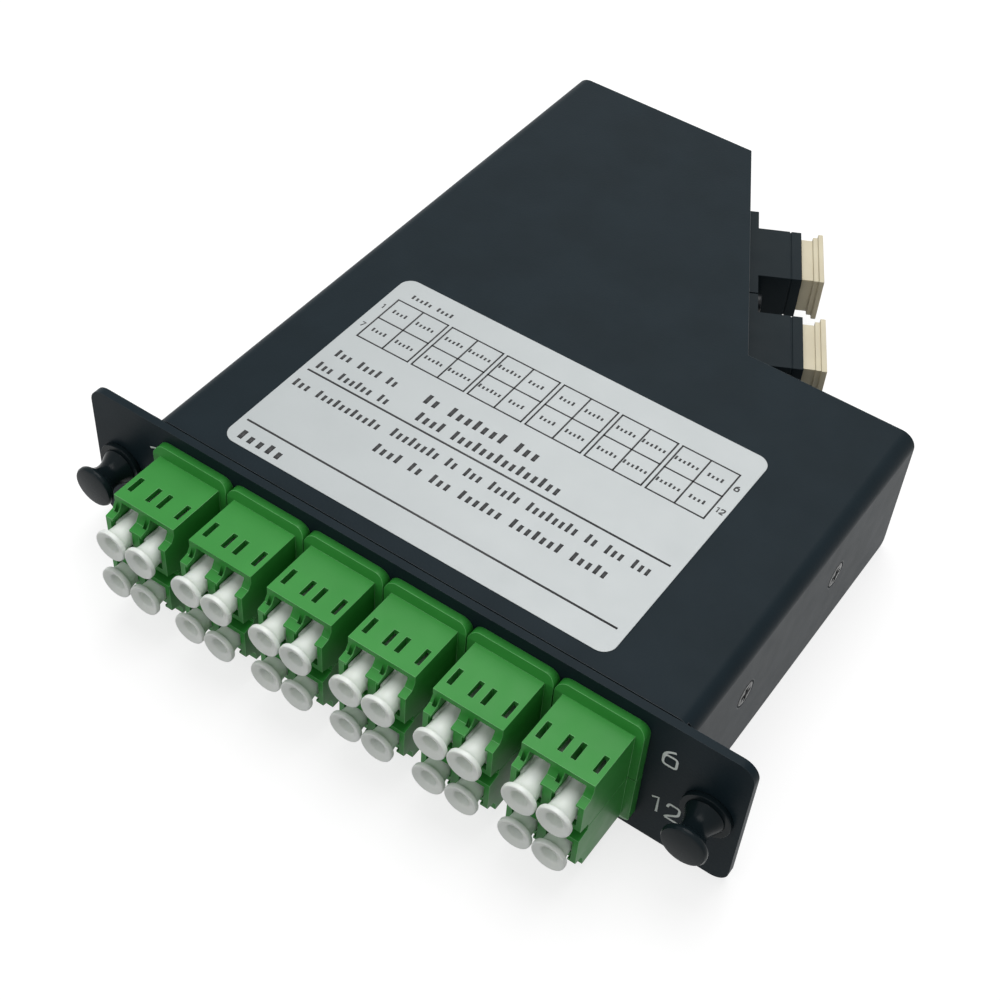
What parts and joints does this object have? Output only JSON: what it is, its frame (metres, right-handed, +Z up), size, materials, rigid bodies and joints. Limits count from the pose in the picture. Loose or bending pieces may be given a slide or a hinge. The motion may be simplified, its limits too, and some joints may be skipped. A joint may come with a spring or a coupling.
{
  "type": "fibre cassette",
  "caption": "Folded steel fibre cassette with a front panel of capped duplex LC adapters, MPO adapters on a slanted rear wall and push-pull panel fasteners.",
  "frame": {"origin": "centre of the front panel, in the plane of its rear face, which seats on the chassis", "axes": "+X to the panel's right seen from the front, +Y from the panel back into the chassis, +Z up"},
  "size_m": [0.13, 0.1532, 0.03],
  "materials": {
    "powder_coat": "fine satin powder coat",
    "label_film": "printed film",
    "black_screws": "blackened",
    "green_plastic": "satin moulded",
    "cap_plastic": "soft translucent",
    "black_plastic": "moulded",
    "ivory_plastic": "moulded",
    "fastener_plastic": "moulded nylon",
    "plug_plastic": "moulded",
    "mpo_plug_plastic": "moulded",
    "loom_jacket": "soft jacket"
  },
  "bodies": {
    "case": {"base_tray": "powder_coat", "top_cover": "powder_coat", "label": "label_film", "cover_screws": "black_screws", "lc_adapter_01": "green_plastic", "lc_adapter_02": "green_plastic", "lc_adapter_03": "green_plastic", "lc_adapter_04": "green_plastic", "lc_adapter_05": "green_plastic", "lc_adapter_06": "green_plastic", "lc_adapter_07": "green_plastic", "lc_adapter_08": "green_plastic", "lc_adapter_09": "green_plastic", "lc_adapter_10": "green_plastic", "lc_adapter_11": "green_plastic", "lc_adapter_12": "green_plastic", "lc_plugs_upper": "plug_plastic", "lc_plugs_lower": "plug_plastic", "mpo_adapter_1": "black_plastic", "mpo_adapter_2": "black_plastic", "mpo_plug_1": "mpo_plug_plastic", "mpo_plug_2": "mpo_plug_plastic", "mpo_screws": "black_screws", "left_grommet": "fastener_plastic", "right_grommet": "fastener_plastic", "upper_loom": "loom_jacket", "lower_loom": "loom_jacket"},
    "cap_01": {"lc_cap_01": "cap_plastic"},
    "cap_02": {"lc_cap_02": "cap_plastic"},
    "cap_03": {"lc_cap_03": "cap_plastic"},
    "cap_04": {"lc_cap_04": "cap_plastic"},
    "cap_05": {"lc_cap_05": "cap_plastic"},
    "cap_06": {"lc_cap_06": "cap_plastic"},
    "cap_07": {"lc_cap_07": "cap_plastic"},
    "cap_08": {"lc_cap_08": "cap_plastic"},
    "cap_09": {"lc_cap_09": "cap_plastic"},
    "cap_10": {"lc_cap_10": "cap_plastic"},
    "cap_11": {"lc_cap_11": "cap_plastic"},
    "cap_12": {"lc_cap_12": "cap_plastic"},
    "cap_13": {"lc_cap_13": "cap_plastic"},
    "cap_14": {"lc_cap_14": "cap_plastic"},
    "cap_15": {"lc_cap_15": "cap_plastic"},
    "cap_16": {"lc_cap_16": "cap_plastic"},
    "cap_17": {"lc_cap_17": "cap_plastic"},
    "cap_18": {"lc_cap_18": "cap_plastic"},
    "cap_19": {"lc_cap_19": "cap_plastic"},
    "cap_20": {"lc_cap_20": "cap_plastic"},
    "cap_21": {"lc_cap_21": "cap_plastic"},
    "cap_22": {"lc_cap_22": "cap_plastic"},
    "cap_23": {"lc_cap_23": "cap_plastic"},
    "cap_24": {"lc_cap_24": "cap_plastic"},
    "mpo_cover_1": {"mpo_cap_1": "ivory_plastic"},
    "mpo_cover_2": {"mpo_cap_2": "ivory_plastic"},
    "left_knob": {"left_plunger": "fastener_plastic"},
    "right_knob": {"right_plunger": "fastener_plastic"}
  },
  "joints": [
    {"name": "pull_cap_01", "type": "slide", "parent": "case", "child": "cap_01", "axis": [0, -1, 0], "range_m": [0, 0.0105]},
    {"name": "pull_cap_02", "type": "slide", "parent": "case", "child": "cap_02", "axis": [0, -1, 0], "range_m": [0, 0.0105]},
    {"name": "pull_cap_03", "type": "slide", "parent": "case", "child": "cap_03", "axis": [0, -1, 0], "range_m": [0, 0.0105]},
    {"name": "pull_cap_04", "type": "slide", "parent": "case", "child": "cap_04", "axis": [0, -1, 0], "range_m": [0, 0.0105]},
    {"name": "pull_cap_05", "type": "slide", "parent": "case", "child": "cap_05", "axis": [0, -1, 0], "range_m": [0, 0.0105]},
    {"name": "pull_cap_06", "type": "slide", "parent": "case", "child": "cap_06", "axis": [0, -1, 0], "range_m": [0, 0.0105]},
    {"name": "pull_cap_07", "type": "slide", "parent": "case", "child": "cap_07", "axis": [0, -1, 0], "range_m": [0, 0.0105]},
    {"name": "pull_cap_08", "type": "slide", "parent": "case", "child": "cap_08", "axis": [0, -1, 0], "range_m": [0, 0.0105]},
    {"name": "pull_cap_09", "type": "slide", "parent": "case", "child": "cap_09", "axis": [0, -1, 0], "range_m": [0, 0.0105]},
    {"name": "pull_cap_10", "type": "slide", "parent": "case", "child": "cap_10", "axis": [0, -1, 0], "range_m": [0, 0.0105]},
    {"name": "pull_cap_11", "type": "slide", "parent": "case", "child": "cap_11", "axis": [0, -1, 0], "range_m": [0, 0.0105]},
    {"name": "pull_cap_12", "type": "slide", "parent": "case", "child": "cap_12", "axis": [0, -1, 0], "range_m": [0, 0.0105]},
    {"name": "pull_cap_13", "type": "slide", "parent": "case", "child": "cap_13", "axis": [0, -1, 0], "range_m": [0, 0.0105]},
    {"name": "pull_cap_14", "type": "slide", "parent": "case", "child": "cap_14", "axis": [0, -1, 0], "range_m": [0, 0.0105]},
    {"name": "pull_cap_15", "type": "slide", "parent": "case", "child": "cap_15", "axis": [0, -1, 0], "range_m": [0, 0.0105]},
    {"name": "pull_cap_16", "type": "slide", "parent": "case", "child": "cap_16", "axis": [0, -1, 0], "range_m": [0, 0.0105]},
    {"name": "pull_cap_17", "type": "slide", "parent": "case", "child": "cap_17", "axis": [0, -1, 0], "range_m": [0, 0.0105]},
    {"name": "pull_cap_18", "type": "slide", "parent": "case", "child": "cap_18", "axis": [0, -1, 0], "range_m": [0, 0.0105]},
    {"name": "pull_cap_19", "type": "slide", "parent": "case", "child": "cap_19", "axis": [0, -1, 0], "range_m": [0, 0.0105]},
    {"name": "pull_cap_20", "type": "slide", "parent": "case", "child": "cap_20", "axis": [0, -1, 0], "range_m": [0, 0.0105]},
    {"name": "pull_cap_21", "type": "slide", "parent": "case", "child": "cap_21", "axis": [0, -1, 0], "range_m": [0, 0.0105]},
    {"name": "pull_cap_22", "type": "slide", "parent": "case", "child": "cap_22", "axis": [0, -1, 0], "range_m": [0, 0.0105]},
    {"name": "pull_cap_23", "type": "slide", "parent": "case", "child": "cap_23", "axis": [0, -1, 0], "range_m": [0, 0.0105]},
    {"name": "pull_cap_24", "type": "slide", "parent": "case", "child": "cap_24", "axis": [0, -1, 0], "range_m": [0, 0.0105]},
    {"name": "pull_mpo_cap_1", "type": "slide", "parent": "case", "child": "mpo_cover_1", "axis": [0.878, 0.4787, 0], "range_m": [0, 0.0075]},
    {"name": "pull_mpo_cap_2", "type": "slide", "parent": "case", "child": "mpo_cover_2", "axis": [0.878, 0.4787, 0], "range_m": [0, 0.0075]},
    {"name": "pull_left_plunger", "type": "slide", "parent": "case", "child": "left_knob", "axis": [0, -1, 0], "range_m": [0, 0.004]},
    {"name": "pull_right_plunger", "type": "slide", "parent": "case", "child": "right_knob", "axis": [0, -1, 0], "range_m": [0, 0.004]}
  ]
}
